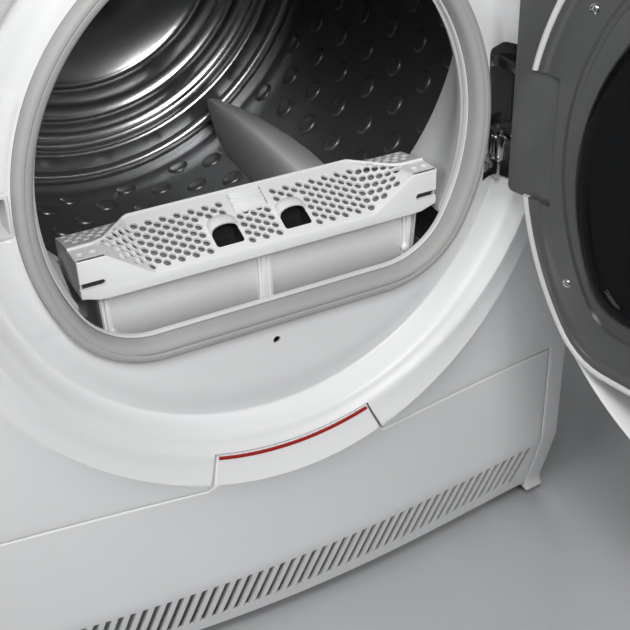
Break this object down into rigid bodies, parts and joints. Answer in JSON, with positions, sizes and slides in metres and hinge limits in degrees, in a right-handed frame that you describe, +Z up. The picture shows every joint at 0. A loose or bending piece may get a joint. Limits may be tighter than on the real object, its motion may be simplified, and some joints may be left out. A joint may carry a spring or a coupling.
{
  "type": "clothes dryer",
  "caption": "Front-loading clothes dryer with its round door open, lint filter lifted out of the collar, plinth flap, water container, drum, belt drive and heat pump inside.",
  "frame": {"origin": "on the floor, under the middle of the dryer's overall box with its door standing open; the casing's own middle is 8 mm to the left and 238 mm further back", "axes": "+X to the right seen from the front, +Y backwards from the front, +Z up"},
  "size_m": [0.6119, 1.1642, 0.85],
  "materials": {
    "white_steel": "gloss",
    "white_plastic": "satin",
    "filter_white": "satin",
    "light_grey_plastic": "satin",
    "mid_grey_plastic": "satin",
    "dark_grey_plastic": "gloss",
    "black_plastic": "matt",
    "grey_rubber": "matt",
    "black_rubber": "matt",
    "galvanised_steel": "satin",
    "drum_steel": "satin",
    "polished_steel": "polished",
    "black_glass": "polished",
    "smoked_glass": "polished",
    "accent_red": "gloss",
    "felt": "matt",
    "fine_mesh": "satin",
    "circuit_green": "satin",
    "aluminium_fins": "satin",
    "black_paint": "gloss"
  },
  "bodies": {
    "casing": {"base_tray": "mid_grey_plastic", "levelling_feet": "black_rubber", "left_side_panel": "white_steel", "right_side_panel": "white_steel", "rear_panel": "galvanised_steel", "top_cover": "white_plastic", "front_panel": "white_plastic", "hinge_cover_plate": "white_plastic", "latch_strike": "light_grey_plastic", "control_panel": "white_plastic", "display_lens": "black_glass", "control_board": "circuit_green", "container_shelf": "mid_grey_plastic", "flap_pins": "mid_grey_plastic", "door_seal": "grey_rubber", "front_shroud": "light_grey_plastic", "filter_duct": "mid_grey_plastic", "front_bulkhead": "galvanised_steel", "drum_felt": "felt", "rear_bulkhead": "galvanised_steel", "drum_bearing": "polished_steel", "rear_duct": "galvanised_steel", "roller_pins": "polished_steel", "drive_belt": "black_rubber", "motor": "galvanised_steel", "fan_housing": "mid_grey_plastic", "compressor": "black_paint", "evaporator": "aluminium_fins", "condenser": "aluminium_fins", "hinge_bracket": "polished_steel", "hinge_pin": "polished_steel", "mains_inlet": "black_plastic", "drain_spigot": "mid_grey_plastic"},
    "door": {"door_outer_ring": "white_plastic", "door_glass": "black_glass", "door_inner_frame": "dark_grey_plastic", "door_window": "smoked_glass", "door_hinge_leaf": "polished_steel", "door_latch_hook": "polished_steel", "door_screws": "polished_steel"},
    "lint_filter": {"filter_frame": "filter_white", "filter_grille": "filter_white", "filter_latch": "filter_white", "filter_mesh": "fine_mesh"},
    "flap": {"plinth_flap": "white_plastic", "accent_strip": "accent_red"},
    "container": {"container_front": "white_plastic", "water_container": "light_grey_plastic"},
    "knob": {"program_knob": "white_plastic"},
    "power_key": {"power_button": "white_plastic"},
    "start_key": {"start_button": "white_plastic"},
    "drum": {"drum_shell": "drum_steel", "drum_rear_wall": "drum_steel", "drum_shaft": "mid_grey_plastic", "drum_lifters": "mid_grey_plastic"},
    "rotor": {"motor_shaft": "polished_steel", "fan_wheel": "black_plastic"},
    "idler": {"idler_pulley": "black_plastic"},
    "roller_left": {"support_roller_left": "black_plastic"},
    "roller_right": {"support_roller_right": "black_plastic"}
  },
  "joints": [
    {"name": "door_hinge", "type": "hinge", "parent": "casing", "child": "door", "pos_m": [0.2141, -0.1183, 0.449], "axis": [0, 0, 1], "range_deg": [-99.4, 12]},
    {"name": "filter_slide", "type": "slide", "parent": "casing", "child": "lint_filter", "axis": [0, 0, 1], "range_m": [-0.074, 0.045]},
    {"name": "flap_hinge", "type": "hinge", "parent": "casing", "child": "flap", "pos_m": [-0.0079, -0.0338, 0.034], "axis": [1, 0, 0], "range_deg": [0, 68]},
    {"name": "container_slide", "type": "slide", "parent": "casing", "child": "container", "axis": [0, -1, 0], "range_m": [0, 0.42]},
    {"name": "knob_turn", "type": "hinge", "parent": "casing", "child": "knob", "pos_m": [-0.0479, -0.0798, 0.768], "axis": [0, 1, 0], "continuous": true},
    {"name": "power_press", "type": "slide", "parent": "casing", "child": "power_key", "axis": [0, 1, 0], "range_m": [0, 0.002], "stiffness_N_per_m": 400, "springref_m": -0.003},
    {"name": "start_press", "type": "slide", "parent": "casing", "child": "start_key", "axis": [0, 1, 0], "range_m": [0, 0.002], "stiffness_N_per_m": 400, "springref_m": -0.003},
    {"name": "drum_turn", "type": "hinge", "parent": "casing", "child": "drum", "pos_m": [-0.0079, 0.2202, 0.528], "axis": [0, 1, 0], "continuous": true},
    {"name": "rotor_turn", "type": "hinge", "parent": "casing", "child": "rotor", "pos_m": [0.1971, 0.2202, 0.122], "axis": [0, 1, 0], "continuous": true},
    {"name": "idler_turn", "type": "hinge", "parent": "casing", "child": "idler", "pos_m": [0.1201, 0.1962, 0.168], "axis": [0, 1, 0], "continuous": true},
    {"name": "roller_left_turn", "type": "hinge", "parent": "casing", "child": "roller_left", "pos_m": [-0.19762, 0.0682, 0.28517], "axis": [0, 1, 0], "continuous": true},
    {"name": "roller_right_turn", "type": "hinge", "parent": "casing", "child": "roller_right", "pos_m": [0.18182, 0.0682, 0.28517], "axis": [0, 1, 0], "continuous": true}
  ],
  "couplings": [
    {"joint": "filter_slide", "follows": "door_hinge", "m_per_rad": 0.04261},
    {"joint": "rotor_turn", "follows": "drum_turn", "ratio": 43.857},
    {"joint": "idler_turn", "follows": "drum_turn", "ratio": 19.322},
    {"joint": "roller_left_turn", "follows": "drum_turn", "ratio": -8.625},
    {"joint": "roller_right_turn", "follows": "drum_turn", "ratio": -8.625}
  ]
}
